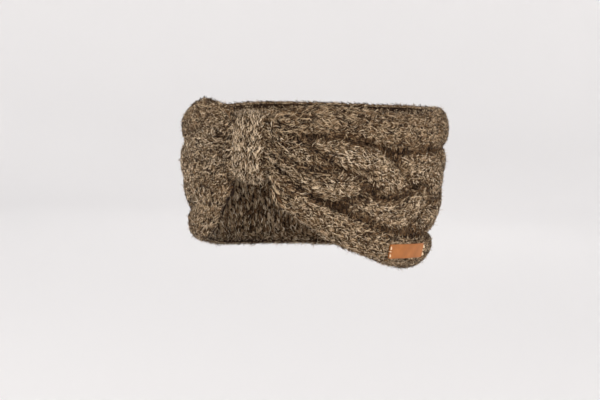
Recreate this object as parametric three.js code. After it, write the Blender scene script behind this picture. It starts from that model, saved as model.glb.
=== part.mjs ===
// An ear warmer headband, as it sits on a head: a chunky ring of wool with a three-strand plait between
// two rolled borders, cinched at the front by a short knit wrap, and a bare leather tag low on the
// wearer's left.
// Millimetres, +Z up. The wearer faces -Y and the wearer's left is +X. The origin is the centre of the
// hollow that the head fills, half way up the band at its side.
// Every place on the ring is an angle in degrees (0 at the wrap, growing to the wearer's left), a height,
// and a reach: how far it stands out from the widest ellipse of the head's hollow.
import * as THREE from "three";

// The hollow for the head, where it is widest, and the band round it
const HOLLOW_DEPTH = 194; // front to back
const HOLLOW_WIDTH = 160; // side to side
const BAND_WIDTH = 108; // from the lower edge to the upper edge, away from the wrap
const GROUND_THICKNESS = 6; // knitted ground, seen at the bottom of the grooves
const UPPER_BORDER_RISE = 5.6; // the rolled upper border above the ground
const LOWER_BORDER_RISE = 7;
const STRAND_RISE = 5.2; // a plait strand above the ground, between two crossings
const CROSSING_RISE = 2.6; // how much higher a strand rides where it crosses over, or lower beneath
const EDGE_THICKNESS = 3; // the turn of the knitting at the upper and lower edges
const EDGE_ROUNDING = 7.5; // how far from an edge the knitting reaches its full thickness
const BORDER_OVERLAP = 1.1; // a border's ridge against the room between its edge and its groove

// The plait: how often its pattern comes back, and where one crossing lies
const PLAIT_REPEATS = 3; // whole patterns in one turn of the ring
const CROSSING_ANGLE = 58; // degrees from the wrap to a crossing in the upper half
const CROSSING_PHASE = 150; // degrees of a strand's swing at which it crosses over its neighbour
const STRAND_COUNT = 3;
const STRAND_SHARE = 0.4; // a strand's width against the plait's
const STRAND_OVERLAP = 1.12; // its ridge against its width

// The cinched waist under the wrap, and the wrap
const WAIST_HEIGHT = 41;
const WAIST_THICKNESS = 11;
const WAIST_MIDDLE = 29.5; // height of its centre above the origin
const WAIST_SQUARENESS = 0.7; // 1 is an ellipse, and less is squarer
const WRAP_WIDTH = 21; // along the ring
const WRAP_FRONT_WALL = 4.4;
const WRAP_BACK_WALL = 2.8; // the layer between the band and the brow
const WRAP_EDGE_WALL = 2.6; // over the upper and lower edges of the band
const WRAP_CLEARANCE = 0.35; // all round the waist
const WRAP_SIDE_SHARE = 0.45; // its wall at the two sides against its wall in the middle
const FLARE_ANGLE = 6; // degrees beside the wrap in which the waist opens out
const GATHER_END = 30; // degrees from the wrap where the last pucker has smoothed out
const PUCKER_DEPTH = 1.6;
const PUCKER_COUNT = 4; // folds across the band beside the wrap

// The leather tag
const TAG_LENGTH = 42.5;
const TAG_WIDTH = 10;
const TAG_THICKNESS = 1.6;
const TAG_CORNER = 1.2;
const TAG_ANGLE = 77.2; // degrees from the wrap to its middle
const TAG_ABOVE_EDGE = 6.7; // from the band's lower edge to the tag's lower edge, at its middle
const TAG_SLOPE = -0.05; // its rise against its length, growing to the wearer's back
const TAG_LEAN = 1.6; // how much further in its lower edge stands than its upper edge
const TAG_CLEARANCE = 0.4;

// How finely the knitted solids are faceted
const WAIST_STEPS = 8;
const OPEN_STEPS = 152;
const CROWDING = 0.45; // how much closer the sections lie beside the wrap, as a share
const OUTER_STEPS = 24;
const INNER_STEPS = 5;
const WRAP_STEPS = 6;
const WRAP_LOOP_STEPS = 36;
const TAG_STEPS = 14;
const TAG_ROWS = 4;

// The two edges of the band by angle from the wrap: their heights above and below the origin, as shares
// of BAND_WIDTH. Each edge has a column for the wearer's left and one for the right, where the band sits
// a little narrower over the ear and its lower edge drops more steeply beside the wrap.
const EDGES = [
  { angle: 0, upperLeft: 0.488, upperRight: 0.488, lowerLeft: 0.062, lowerRight: 0.062 },
  { angle: 5, upperLeft: 0.49, upperRight: 0.49, lowerLeft: -0.01, lowerRight: 0.04 },
  { angle: 10, upperLeft: 0.502, upperRight: 0.502, lowerLeft: -0.07, lowerRight: -0.01 },
  { angle: 18, upperLeft: 0.523, upperRight: 0.523, lowerLeft: -0.142, lowerRight: -0.1 },
  { angle: 25, upperLeft: 0.535, upperRight: 0.537, lowerLeft: -0.212, lowerRight: -0.215 },
  { angle: 33, upperLeft: 0.539, upperRight: 0.545, lowerLeft: -0.273, lowerRight: -0.308 },
  { angle: 42, upperLeft: 0.53, upperRight: 0.52, lowerLeft: -0.336, lowerRight: -0.362 },
  { angle: 52, upperLeft: 0.516, upperRight: 0.475, lowerLeft: -0.388, lowerRight: -0.378 },
  { angle: 65, upperLeft: 0.498, upperRight: 0.45, lowerLeft: -0.449, lowerRight: -0.4 },
  { angle: 78, upperLeft: 0.486, upperRight: 0.445, lowerLeft: -0.493, lowerRight: -0.437 },
  { angle: 90, upperLeft: 0.5, upperRight: 0.455, lowerLeft: -0.515, lowerRight: -0.465 },
  { angle: 120, upperLeft: 0.505, upperRight: 0.485, lowerLeft: -0.52, lowerRight: -0.487 },
  { angle: 180, upperLeft: 0.49, upperRight: 0.49, lowerLeft: -0.5, lowerRight: -0.5 },
];

// Where the grooves between the borders and the plait run, as shares of the band's width at that angle.
const GROOVES = [
  { angle: 0, upper: 0.72, lower: 0.4 },
  { angle: 18, upper: 0.76, lower: 0.33 },
  { angle: 33, upper: 0.77, lower: 0.25 },
  { angle: 60, upper: 0.77, lower: 0.212 },
  { angle: 95, upper: 0.765, lower: 0.19 },
  { angle: 180, upper: 0.765, lower: 0.2 },
];

// The head narrows above and below: how far the band's inner face draws in at a height, both as shares,
// the height of BAND_WIDTH and the draw of half HOLLOW_WIDTH.
const HEAD_SHAPE = [
  { height: -0.52, drawIn: 0.19 },
  { height: -0.4, drawIn: 0.13 },
  { height: -0.2, drawIn: 0.084 },
  { height: 0, drawIn: 0.038 },
  { height: 0.2, drawIn: 0.006 },
  { height: 0.36, drawIn: 0 },
  { height: 0.54, drawIn: 0.02 },
];

const degrees = Math.PI / 180;
const lerp = THREE.MathUtils.lerp;
const smoothstep = THREE.MathUtils.smoothstep;

// A table's column at a place between its rows, with no corner at a row.
function fromTable(table, key, place, column) {
  const last = table.length - 1;
  let i = 0;
  while (i < last - 1 && table[i + 1][key] < place) i += 1;
  const [start, end] = [table[i], table[i + 1]];
  const share = (place - start[key]) / (end[key] - start[key]);
  const slopeAt = (j) => {
    const [before, after] = [table[Math.max(j - 1, 0)], table[Math.min(j + 1, last)]];
    return (after[column] - before[column]) / (after[key] - before[key]);
  };
  const span = end[key] - start[key];
  const s = THREE.MathUtils.clamp(share, 0, 1);
  const [s2, s3] = [s * s, s * s * s];
  return (
    (2 * s3 - 3 * s2 + 1) * start[column] +
    (s3 - 2 * s2 + s) * span * slopeAt(i) +
    (3 * s2 - 2 * s3) * end[column] +
    (s3 - s2) * span * slopeAt(i + 1)
  );
}

// Degrees from the wrap, 0 to 180, on either side.
function fromWrap(angle) {
  const turned = ((angle % 360) + 360) % 360;
  return Math.min(turned, 360 - turned);
}

function onRight(angle) {
  return Math.sin(angle * degrees) < 0;
}

function upperEdge(angle) {
  const side = onRight(angle) ? "upperRight" : "upperLeft";
  return BAND_WIDTH * fromTable(EDGES, "angle", fromWrap(angle), side);
}

function lowerEdge(angle) {
  const side = onRight(angle) ? "lowerRight" : "lowerLeft";
  return BAND_WIDTH * fromTable(EDGES, "angle", fromWrap(angle), side);
}

// The reach of the head at a height: 0 where it is widest, and negative above and below.
function headReach(height) {
  return (-HOLLOW_WIDTH / 2) * fromTable(HEAD_SHAPE, "height", height / BAND_WIDTH, "drawIn");
}

// A point in space from its angle round the ring, its reach and its height.
function onRing(angle, reach, height) {
  const turn = angle * degrees;
  return new THREE.Vector3(
    (HOLLOW_WIDTH / 2 + reach) * Math.sin(turn),
    -(HOLLOW_DEPTH / 2 + reach) * Math.cos(turn),
    height,
  );
}

// A rounded ridge: 1 on its middle line, 0 at its sides and beyond.
function ridge(share, middle, halfWidth) {
  const off = (share - middle) / halfWidth;
  return Math.max(0, 1 - off * off) ** 0.8;
}

// Where a plait strand lies at an angle: its middle across the band, its half width, and how high it
// rides. A strand swings from the top of the plait to its bottom and back, and crosses over whichever
// strand it meets on its way in.
function strandAt(angle, index) {
  const place = fromWrap(angle);
  const top = fromTable(GROOVES, "angle", place, "upper");
  const bottom = fromTable(GROOVES, "angle", place, "lower");
  const halfWidth = (STRAND_SHARE / 2) * (top - bottom);
  const swing = (top - bottom) / 2 - halfWidth;
  const start = CROSSING_PHASE + (index * 360) / STRAND_COUNT;
  const phase = (PLAIT_REPEATS * (angle - CROSSING_ANGLE) + start) * degrees;
  return {
    middle: (top + bottom) / 2 + swing * Math.sin(phase),
    halfWidth: halfWidth * STRAND_OVERLAP,
    rise: STRAND_RISE - CROSSING_RISE * Math.sin(2 * phase),
  };
}

// The thickness of the knitting at a share of the width from the lower edge to the upper edge.
function thicknessAt(angle, share) {
  const place = fromWrap(angle);
  const upperGroove = fromTable(GROOVES, "angle", place, "upper");
  const lowerGroove = fromTable(GROOVES, "angle", place, "lower");
  const fromEdge = Math.max(0, Math.min(share, 1 - share)) * BAND_WIDTH;
  const edge = Math.min(1, Math.sqrt(fromEdge / EDGE_ROUNDING));
  const lowerHalf = (lowerGroove / 2) * BORDER_OVERLAP;
  const upperHalf = ((1 - upperGroove) / 2) * BORDER_OVERLAP;
  let rise = LOWER_BORDER_RISE * ridge(share, lowerGroove / 2, lowerHalf);
  rise = Math.max(rise, UPPER_BORDER_RISE * ridge(share, (1 + upperGroove) / 2, upperHalf));
  for (let k = 0; k < STRAND_COUNT; k += 1) {
    const strand = strandAt(angle, k);
    rise = Math.max(rise, strand.rise * ridge(share, strand.middle, strand.halfWidth));
  }
  const gathered = 1 - smoothstep(place, wrapAngle(1, 0), GATHER_END);
  const pucker = PUCKER_DEPTH * gathered * Math.cos(2 * Math.PI * PUCKER_COUNT * share);
  return lerp(EDGE_THICKNESS, GROUND_THICKNESS + rise + pucker, edge);
}

// The band's section away from the wrap, as [reach, height] points: up its outer face, down its inner.
function openSection(angle) {
  const [low, high] = [lowerEdge(angle), upperEdge(angle)];
  const section = [];
  for (let i = 0; i <= OUTER_STEPS; i += 1) {
    const crowded = 0.5 - 0.5 * Math.cos((Math.PI * (i + 0.5)) / (OUTER_STEPS + 1));
    const even = (i + 0.25) / (OUTER_STEPS + 0.5);
    const along = lerp(even, crowded, 0.4);
    const height = lerp(low, high, along);
    section.push([headReach(height) + thicknessAt(angle, along), height]);
  }
  for (let i = 0; i <= INNER_STEPS; i += 1) {
    const height = lerp(high, low, i / INNER_STEPS);
    section.push([headReach(height), height]);
  }
  return section;
}

// A point on a rounded oblong round the cinched waist, grown from it by the given walls.
function waistPoint(turn, frontWall, backWall, edgeWall) {
  const middleReach = WRAP_BACK_WALL + WRAP_CLEARANCE + WAIST_THICKNESS / 2;
  const [c, s] = [Math.cos(turn), Math.sin(turn)];
  const halfReach = WAIST_THICKNESS / 2 + (c > 0 ? frontWall : backWall);
  const halfHeight = WAIST_HEIGHT / 2 + edgeWall;
  return [
    middleReach + halfReach * Math.sign(c) * Math.abs(c) ** WAIST_SQUARENESS,
    WAIST_MIDDLE + halfHeight * Math.sign(s) * Math.abs(s) ** WAIST_SQUARENESS,
  ];
}

// The band's section inside the wrap, with as many points as an open section.
function waistSection() {
  const section = [];
  for (let i = 0; i <= OUTER_STEPS; i += 1) {
    const turn = Math.PI * ((i + 0.5) / (OUTER_STEPS + 1) - 0.5);
    section.push(waistPoint(turn, 0, 0, 0));
  }
  for (let i = 0; i <= INNER_STEPS; i += 1) {
    const turn = Math.PI * ((i + 0.5) / (INNER_STEPS + 1) + 0.5);
    section.push(waistPoint(turn, 0, 0, 0));
  }
  return section;
}

// The angle at which a point lies half the wrap's width, or a share of it, from the middle of the front.
function wrapAngle(across, reach) {
  return Math.asin((across * WRAP_WIDTH) / 2 / (HOLLOW_WIDTH / 2 + reach)) / degrees;
}

// The band's section at any angle: the waist inside the wrap, flaring to the open section beside it.
function bandSection(angle) {
  const start = wrapAngle(1, 0);
  const open = smoothstep(fromWrap(angle), start, start + FLARE_ANGLE);
  const waist = waistSection();
  return openSection(angle).map(([reach, height], i) => [
    lerp(waist[i][0], reach, open),
    lerp(waist[i][1], height, open),
  ]);
}

// A closed skin over rings of points with their faces outwards. The last ring joins the first, or both
// ends are capped by strips across the ring.
function skin(rings, capped) {
  const sides = rings[0].length;
  const index = [];
  const joins = capped ? rings.length - 1 : rings.length;
  for (let i = 0; i < joins; i += 1) {
    const next = (i + 1) % rings.length;
    for (let j = 0; j < sides; j += 1) {
      const beside = (j + 1) % sides;
      const [a, b] = [i * sides + j, i * sides + beside];
      const [c, d] = [next * sides + j, next * sides + beside];
      index.push(a, c, b, b, c, d);
    }
  }
  if (capped) {
    const last = (rings.length - 1) * sides;
    for (let j = 0; j < sides / 2 - 1; j += 1) {
      const [a, b, c, d] = [j, j + 1, sides - 2 - j, sides - 1 - j];
      index.push(a, b, d, b, c, d);
      index.push(last + a, last + d, last + b, last + b, last + d, last + c);
    }
  }
  const geometry = new THREE.BufferGeometry();
  const positions = rings.flat().flatMap((p) => [p.x, p.y, p.z]);
  geometry.setAttribute("position", new THREE.Float32BufferAttribute(positions, 3));
  geometry.setIndex(index);
  geometry.computeVertexNormals();
  return geometry;
}

// The angles of the band's sections: even across the waist, and from there closest beside the wrap.
function sectionAngles() {
  const edge = wrapAngle(1, 0);
  const angles = [];
  for (let i = 0; i < WAIST_STEPS; i += 1) angles.push(lerp(-edge, edge, i / WAIST_STEPS));
  for (let i = 0; i < OPEN_STEPS; i += 1) {
    const even = i / OPEN_STEPS;
    const crowded = even - (CROWDING * Math.sin(2 * Math.PI * even)) / (2 * Math.PI);
    angles.push(lerp(edge, 360 - edge, crowded));
  }
  return angles;
}

function makeBand() {
  const rings = sectionAngles().map((angle) =>
    bandSection(angle).map(([reach, height]) => onRing(angle, reach, height)),
  );
  return skin(rings, false);
}

// The wrap's wall, once round the waist: at each turn a closed outline, wide as the wrap and rounded
// towards its outer face.
function makeWrap() {
  const rings = [];
  for (let i = 0; i < WRAP_LOOP_STEPS; i += 1) {
    const turn = (2 * Math.PI * i) / WRAP_LOOP_STEPS;
    const ring = [];
    for (let j = 0; j <= WRAP_STEPS; j += 1) {
      const across = lerp(-1, 1, j / WRAP_STEPS);
      const full = lerp(WRAP_SIDE_SHARE, 1, Math.sqrt(1 - across ** 2));
      const [reach, height] = waistPoint(
        turn,
        WRAP_CLEARANCE + WRAP_FRONT_WALL * full,
        WRAP_CLEARANCE + WRAP_BACK_WALL,
        WRAP_CLEARANCE + WRAP_EDGE_WALL * full,
      );
      ring.push(onRing(wrapAngle(across, reach), reach, height));
    }
    for (let j = WRAP_STEPS; j >= 0; j -= 1) {
      const across = lerp(-1, 1, j / WRAP_STEPS);
      const [reach, height] = waistPoint(turn, WRAP_CLEARANCE, WRAP_CLEARANCE, WRAP_CLEARANCE);
      ring.push(onRing(wrapAngle(across, reach), reach, height));
    }
    rings.push(ring.reverse());
  }
  return skin(rings, false);
}

// The tag lies along the lower border and bends with it lengthwise: stations along its length, each a
// thin straight outline that rests on the roll and is lower at the rounded corners.
function makeTag() {
  const perDegree = onRing(TAG_ANGLE - 0.5, 0, 0).distanceTo(onRing(TAG_ANGLE + 0.5, 0, 0));
  const middle = lowerEdge(TAG_ANGLE) + TAG_ABOVE_EDGE + TAG_WIDTH / 2;
  const surface = (angle, height) => {
    const share = (height - lowerEdge(angle)) / (upperEdge(angle) - lowerEdge(angle));
    return headReach(height) + thicknessAt(angle, share) + TAG_CLEARANCE;
  };
  const rings = [];
  for (let i = 0; i <= TAG_STEPS; i += 1) {
    const along = (-0.5 + i / TAG_STEPS) * TAG_LENGTH;
    const intoCorner = Math.max(0, Math.abs(along) - (TAG_LENGTH / 2 - TAG_CORNER));
    const halfWidth = TAG_WIDTH / 2 - TAG_CORNER + Math.sqrt(TAG_CORNER ** 2 - intoCorner ** 2);
    const angle = TAG_ANGLE + along / perDegree;
    const rows = [];
    for (let j = 0; j <= TAG_ROWS; j += 1) {
      rows.push(middle + TAG_SLOPE * along + (TAG_WIDTH / 2) * (-1 + (2 * j) / TAG_ROWS));
    }
    const [lowest, highest] = [rows[0], rows[TAG_ROWS]];
    const highReach = surface(angle, highest);
    const across = (height) => highReach - TAG_LEAN * ((highest - height) / (highest - lowest));
    const clear = Math.max(...rows.map((height) => surface(angle, height) - across(height)));
    const [front, back] = [[], []];
    for (const row of rows) {
      const height = middle + TAG_SLOPE * along + ((row - lowest) / TAG_WIDTH - 0.5) * 2 * halfWidth;
      front.push(onRing(angle, across(height) + clear + TAG_THICKNESS, height));
      back.push(onRing(angle, across(height) + clear, height));
    }
    rings.push([...front, ...back.reverse()]);
  }
  return skin(rings, true);
}

const wool = new THREE.MeshStandardMaterial({ color: 0x72604c, roughness: 0.95, metalness: 0 });
const wrapWool = new THREE.MeshStandardMaterial({ color: 0x7c6a55, roughness: 0.95, metalness: 0 });
const leather = new THREE.MeshStandardMaterial({ color: 0xbb7b4a, roughness: 0.6, metalness: 0 });

function named(name, geometry, material) {
  const mesh = new THREE.Mesh(geometry, material);
  mesh.name = name;
  return mesh;
}

const headband = new THREE.Group();
headband.add(named("band", makeBand(), wool));
headband.add(named("front_wrap", makeWrap(), wrapWool));
headband.add(named("leather_tag", makeTag(), leather));

export default headband;
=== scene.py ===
# %% [markdown]
# # A chunky knitted ear warmer
#
# This notebook dresses a headband of heather wool: a ring of knitting with a three-strand plait between
# two rolled borders, cinched at the front by a short knitted wrap, and a small bare leather tag on one
# side. The stitches are real shapes here, laid along the same curves that the solid model follows, and
# the loose fibres that make wool look soft are thin slivers that lie along them.

import math

import bmesh
import bpy
import numpy as np
from mathutils import Matrix, Vector


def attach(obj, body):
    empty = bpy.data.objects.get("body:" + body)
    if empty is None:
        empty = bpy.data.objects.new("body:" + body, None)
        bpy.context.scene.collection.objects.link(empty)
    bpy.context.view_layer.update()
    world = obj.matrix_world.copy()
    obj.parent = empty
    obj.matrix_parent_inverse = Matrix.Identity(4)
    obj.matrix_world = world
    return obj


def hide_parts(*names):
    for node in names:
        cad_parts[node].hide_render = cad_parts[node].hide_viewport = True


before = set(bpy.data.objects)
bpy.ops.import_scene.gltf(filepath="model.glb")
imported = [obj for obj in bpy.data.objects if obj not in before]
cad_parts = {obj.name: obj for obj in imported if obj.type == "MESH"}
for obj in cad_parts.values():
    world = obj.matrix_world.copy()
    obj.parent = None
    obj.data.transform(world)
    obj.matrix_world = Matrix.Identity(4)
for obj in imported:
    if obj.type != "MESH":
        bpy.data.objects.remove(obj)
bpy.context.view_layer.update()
print("solids:", sorted(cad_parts))

# %% [markdown]
# ## The camera
#
# A portrait lens stands a little above the band's middle and a little round to the wearer's left, so the
# wrap is seen at the left of the picture and the tag at the right. It is rolled by two degrees. The lens
# follows from the distance: how many picture widths the sensor would need to see the ring at that size.

# %% Place the camera
MM = 0.001  # every size below is in millimetres, and a mesh is in metres
PICTURE_WIDTH = 600
PICTURE_HEIGHT = 400
SENSOR_WIDTH = 36.0
FOCAL_PIXELS = 1932.0
CAMERA_AZIMUTH = math.radians(24.2)
CAMERA_ELEVATION = math.radians(5.0)
CAMERA_ROLL = math.radians(2.0)
CAMERA_DISTANCE = 1380.0
RING_CENTRE = Vector((0.0, 0.0, 7.0))
RING_CENTRE_PIXEL = (315.0, 172.0)

level = math.cos(CAMERA_ELEVATION)
sideways, frontwards = math.sin(CAMERA_AZIMUTH), math.cos(CAMERA_AZIMUTH)
backwards = Vector((sideways * level, -frontwards * level, math.sin(CAMERA_ELEVATION)))
level_right = Vector((0, 0, 1)).cross(backwards).normalized()
level_up = backwards.cross(level_right)
camera_right = math.cos(CAMERA_ROLL) * level_right + math.sin(CAMERA_ROLL) * level_up
camera_up = math.cos(CAMERA_ROLL) * level_up - math.sin(CAMERA_ROLL) * level_right
right_shift = (RING_CENTRE_PIXEL[0] - PICTURE_WIDTH / 2) / FOCAL_PIXELS * CAMERA_DISTANCE
up_shift = (PICTURE_HEIGHT / 2 - RING_CENTRE_PIXEL[1]) / FOCAL_PIXELS * CAMERA_DISTANCE
camera_place = RING_CENTRE + CAMERA_DISTANCE * backwards
camera_place = camera_place - right_shift * camera_right - up_shift * camera_up

camera_data = bpy.data.cameras.new("camera")
camera_data.sensor_fit = "HORIZONTAL"
camera_data.sensor_width = SENSOR_WIDTH
camera_data.lens = FOCAL_PIXELS / PICTURE_WIDTH * SENSOR_WIDTH
camera = bpy.data.objects.new("camera", camera_data)
turned = Matrix((camera_right, camera_up, backwards)).transposed()
camera.matrix_world = Matrix.Translation(camera_place * MM) @ turned.to_4x4()
bpy.context.scene.collection.objects.link(camera)
bpy.context.scene.camera = camera
print("lens in mm:", round(camera_data.lens, 1))

# %% [markdown]
# ## Small helpers for finishes
#
# A finish is a tree of nodes. These functions turn the colour codes of a paint chart into the linear
# values that light works in, and add nodes, set them and link them.


# %% Colour and node helpers
def linear(hex_colour):
    """An sRGB hex colour as linear red, green, blue and alpha."""
    channels = [int(hex_colour[i : i + 2], 16) / 255 for i in (1, 3, 5)]
    straight = [c / 12.92 if c <= 0.04045 else ((c + 0.055) / 1.055) ** 2.4 for c in channels]
    return (*straight, 1.0)


def add_node(tree, kind, inputs=None, **settings):
    """A node of that kind: inputs are values, or (node, output) pairs to link, by socket name."""
    node = tree.nodes.new("ShaderNode" + kind)
    for name, value in settings.items():
        setattr(node, name, value)
    for name, value in (inputs or {}).items():
        if isinstance(value, tuple) and isinstance(value[0], bpy.types.Node):
            tree.links.new(value[0].outputs[value[1]], node.inputs[name])
        else:
            node.inputs[name].default_value = value
    return node


def new_material(name):
    """An empty material and its tree."""
    material = bpy.data.materials.new(name)
    material.use_nodes = True
    material.node_tree.nodes.clear()
    return material, material.node_tree


def set_surface(tree, colour, roughness, specular, **others):
    """Gives a material a surface of that colour, roughness and shine."""
    inputs = {"Base Color": colour, "Roughness": roughness, "Specular IOR Level": specular, **others}
    shader = add_node(tree, "BsdfPrincipled", inputs)
    add_node(tree, "OutputMaterial", {"Surface": (shader, 0)})


def add_ramp(tree, source, stops):
    """A colour ramp fed by source, with its stops: pairs of a place from 0 to 1 and a hex colour."""
    node = add_node(tree, "ValToRGB", {"Fac": source})
    ramp = node.color_ramp
    while len(ramp.elements) < len(stops):
        ramp.elements.new(1.0)
    for element, (place, colour) in zip(ramp.elements, stops):
        element.position = place
        element.color = linear(colour)
    return node


# %% [markdown]
# ## Yarn
#
# The yarn is undyed wool, spun thick from brown, grey and fawn fleece mixed before spinning. It is matt,
# and close up no two fibres have quite the same colour. Each stitch carries its own place along the
# yarn, so the streaks of the noise run with the fibres wherever the stitch is turned.

# %% Spun wool for the stitches
STREAK_LENGTH = 5.0  # mm along the yarn, as long as a fibre shows before it dives in
STREAK_WIDTH = 0.45  # mm across; a fibre is about 0.03 mm, and is drawn this coarse to show at all
CLOUD_SIZE = 14.0  # mm, patches where one fleece colour wins

spun_wool, tree = new_material("spun_heather_wool")
yarn_place = add_node(tree, "Attribute", attribute_name="yarn_place")
stitch_tone = add_node(tree, "Attribute", attribute_name="tone")
stretched = add_node(
    tree,
    "Mapping",
    {"Vector": (yarn_place, "Vector"), "Scale": (1 / STREAK_LENGTH, 1 / STREAK_WIDTH, 1 / STREAK_WIDTH)},
)
streaks = add_node(tree, "TexNoise", {"Vector": (stretched, "Vector"), "Scale": 1.0, "Detail": 2.0})
place = add_node(tree, "TexCoord")
clouds = add_node(
    tree, "TexNoise", {"Vector": (place, "Object"), "Scale": 1000 / CLOUD_SIZE, "Detail": 2.0}
)
mixed = add_node(
    tree, "Math", {0: (stitch_tone, "Fac"), 1: 0.45, 2: (streaks, "Fac")}, operation="MULTIPLY_ADD"
)
clouded = add_node(tree, "Math", {0: (clouds, "Fac"), 1: 0.3, 2: (mixed, 0)}, operation="MULTIPLY_ADD")
fleece_stops = [(0.52, "#1f1206"), (0.76, "#563f29"), (0.92, "#856b50"), (1.0, "#a99478")]
fleece = add_ramp(tree, (clouded, 0), fleece_stops)
yarn_bump = add_node(tree, "Bump", {"Height": (streaks, "Fac"), "Distance": 0.0004, "Strength": 0.8})
set_surface(tree, (fleece, "Color"), 0.95, 0.15, IOR=1.55, Normal=(yarn_bump, "Normal"))

# %% [markdown]
# ## Loose fibres
#
# What makes this wool look soft is its halo: fibres that have worked out of the yarn and lie over the
# stitches, from nearly black to fawn. They are too many to be drawn one by one, so each sliver here
# stands for a few fibres that lie together, and has one colour from the mixed fleece.

# %% Wool for the loose fibres
loose_wool, tree = new_material("loose_wool_fibres")
fibre_tone = add_node(tree, "Attribute", attribute_name="tone")
fibre_stops = [(0.0, "#0f0702"), (0.27, "#352310"), (0.5, "#7a6247"), (0.75, "#b19a7b"), (1.0, "#e8d6bc")]
fibre_colour = add_ramp(tree, (fibre_tone, "Fac"), fibre_stops)
set_surface(tree, (fibre_colour, "Color"), 0.8, 0.2, IOR=1.55)

# %% [markdown]
# ## The knitted ground
#
# Behind the stitches the knitting is a felted web of yarn. It only shows at the bottom of a gap, so its
# colour is the wool's, painted darker as the shade there, and it has no relief of its own.

# %% Wool for the ground, darkened with painted shade
ground_wool_painted_shade, tree = new_material("wool_ground_painted_shade")
place = add_node(tree, "TexCoord")
mottle = add_node(tree, "TexNoise", {"Vector": (place, "Object"), "Scale": 700.0, "Detail": 3.0})
# painted shade: the ground's colours are those of the wool in the shade of a gap
ground_stops = [(0.35, "#150d06"), (0.6, "#33241a"), (0.75, "#4c3a28")]
ground_colour = add_ramp(tree, (mottle, "Fac"), ground_stops)
set_surface(tree, (ground_colour, "Color"), 1.0, 0.1)

# %% [markdown]
# ## The ring's own measure
#
# The solid model gives every point an angle round the ring, a height, and a reach outwards from the
# hollow for the head. The same tables stand here, so each stitch lands on the solid's surface.

# %% Sizes and tables of the ring
HOLLOW_DEPTH = 194.0
HOLLOW_WIDTH = 160.0
BAND_WIDTH = 108.0
GROUND_THICKNESS = 6.0
UPPER_BORDER_RISE = 5.6
LOWER_BORDER_RISE = 7.0
STRAND_RISE = 5.2
PLAIT_REPEATS = 3
CROSSING_ANGLE = 58.0
CROSSING_PHASE = 150.0
STRAND_COUNT = 3
WAIST_HEIGHT = 41.0
WAIST_THICKNESS = 11.0
WAIST_MIDDLE = 29.5
WAIST_SQUARENESS = 0.7
WRAP_WIDTH = 21.0
WRAP_FRONT_WALL = 4.4
WRAP_BACK_WALL = 2.8
WRAP_EDGE_WALL = 2.6
WRAP_CLEARANCE = 0.35
WRAP_SIDE_SHARE = 0.45
FLARE_ANGLE = 6.0
GATHER_END = 30.0
PUCKER_DEPTH = 1.6
PUCKER_COUNT = 4

# Rows of angle from the wrap, then the upper edge on the wearer's left and right, and the lower edge so
EDGES = np.array(
    [
        (0, 0.488, 0.488, 0.062, 0.062),
        (5, 0.49, 0.49, -0.01, 0.04),
        (10, 0.502, 0.502, -0.07, -0.01),
        (18, 0.523, 0.523, -0.142, -0.1),
        (25, 0.535, 0.537, -0.212, -0.215),
        (33, 0.539, 0.545, -0.273, -0.308),
        (42, 0.53, 0.52, -0.336, -0.362),
        (52, 0.516, 0.475, -0.388, -0.378),
        (65, 0.498, 0.45, -0.449, -0.4),
        (78, 0.486, 0.445, -0.493, -0.437),
        (90, 0.5, 0.455, -0.515, -0.465),
        (120, 0.505, 0.485, -0.52, -0.487),
        (180, 0.49, 0.49, -0.5, -0.5),
    ]
)
# Rows of angle from the wrap, upper groove, lower groove
GROOVES = np.array(
    [
        (0, 0.72, 0.4),
        (18, 0.76, 0.33),
        (33, 0.77, 0.25),
        (60, 0.77, 0.212),
        (95, 0.765, 0.19),
        (180, 0.765, 0.2),
    ]
)
# Rows of height and how far the head draws in there
HEAD_SHAPE = np.array(
    [(-0.52, 0.19), (-0.4, 0.13), (-0.2, 0.084), (0, 0.038), (0.2, 0.006), (0.36, 0), (0.54, 0.02)]
)


# %% Places on the ring
def from_table(table, place, column):
    """A column at places between the table's rows, with no corner at a row."""
    keys, values = table[:, 0], table[:, column]
    last = len(keys) - 1
    i = np.clip(np.searchsorted(keys[1:], place), 0, last - 1)
    span = keys[i + 1] - keys[i]
    s = np.clip((place - keys[i]) / span, 0, 1)
    before, after = np.maximum(np.arange(last + 1) - 1, 0), np.minimum(np.arange(last + 1) + 1, last)
    slopes = (values[after] - values[before]) / (keys[after] - keys[before])
    return (
        (2 * s**3 - 3 * s**2 + 1) * values[i]
        + (s**3 - 2 * s**2 + s) * span * slopes[i]
        + (3 * s**2 - 2 * s**3) * values[i + 1]
        + (s**3 - s**2) * span * slopes[i + 1]
    )


def smoothstep(x, start, end):
    s = np.clip((x - start) / (end - start), 0, 1)
    return s * s * (3 - 2 * s)


def from_wrap(angle):
    """Degrees from the wrap, 0 to 180, on either side."""
    around = np.mod(angle, 360)
    return np.minimum(around, 360 - around)


def edges(angle):
    """Heights of the lower and the upper edge."""
    beside = from_wrap(angle)
    right = np.sin(np.radians(angle)) < 0
    upper = np.where(right, from_table(EDGES, beside, 2), from_table(EDGES, beside, 1))
    lower = np.where(right, from_table(EDGES, beside, 4), from_table(EDGES, beside, 3))
    return BAND_WIDTH * lower, BAND_WIDTH * upper


def width_share(angle, height):
    """0 at the lower edge and 1 at the upper."""
    low, high = edges(angle)
    return (height - low) / (high - low)


def head_reach(height):
    """How far the head's surface stands out at a height: 0 where it is widest."""
    return -HOLLOW_WIDTH / 2 * from_table(HEAD_SHAPE, height / BAND_WIDTH, 1)


def on_ring(angle, reach, height):
    """Points in space from angle, reach and height."""
    turn = np.radians(angle)
    across = (HOLLOW_WIDTH / 2 + reach) * np.sin(turn)
    forwards = -(HOLLOW_DEPTH / 2 + reach) * np.cos(turn)
    return np.stack([across, forwards, height + 0 * across], axis=-1)


def wrap_angle(across, reach):
    return np.degrees(np.arcsin(across * WRAP_WIDTH / 2 / (HOLLOW_WIDTH / 2 + reach)))


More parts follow.
